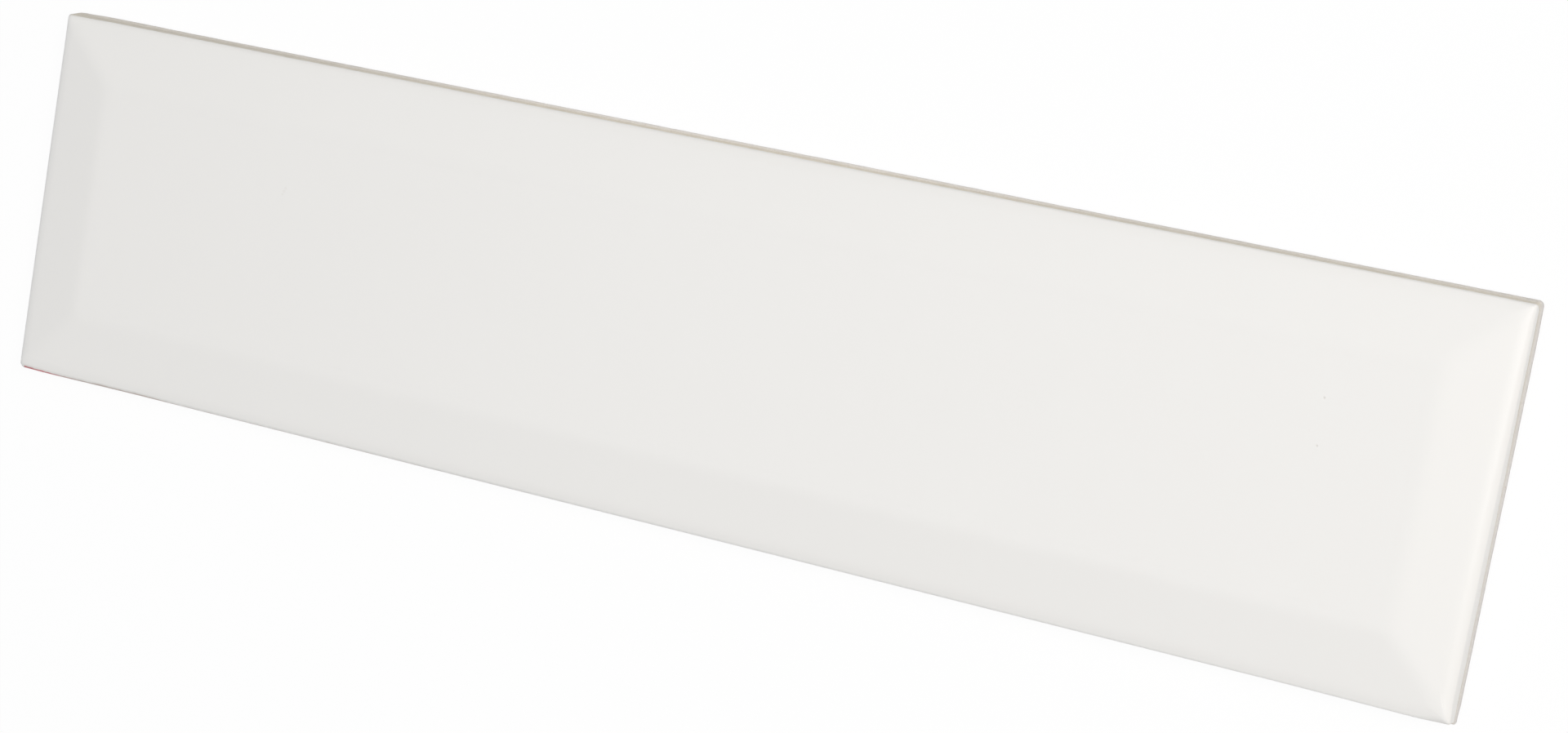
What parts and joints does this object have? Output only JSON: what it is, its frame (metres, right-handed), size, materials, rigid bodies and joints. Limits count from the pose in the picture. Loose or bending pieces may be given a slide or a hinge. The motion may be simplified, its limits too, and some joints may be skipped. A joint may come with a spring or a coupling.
{
  "type": "subway wall tile",
  "caption": "Long bevelled ceramic wall tile: flat glazed panel framed by mitred bevels, bare clay edges over a wider foot, keyed back for adhesive.",
  "frame": {"origin": "middle of the back, in the plane of the ribs and border that is bedded on the wall", "axes": "+X along the length, +Y across the width, +Z out of the glazed face"},
  "size_m": [0.3, 0.075, 0.008],
  "materials": {
    "glazed_clay": "warm white satin glaze on the face and rim, bare beige clay on the edges and back"
  },
  "bodies": {
    "root": {"wall_tile": "glazed_clay"}
  },
  "joints": []
}
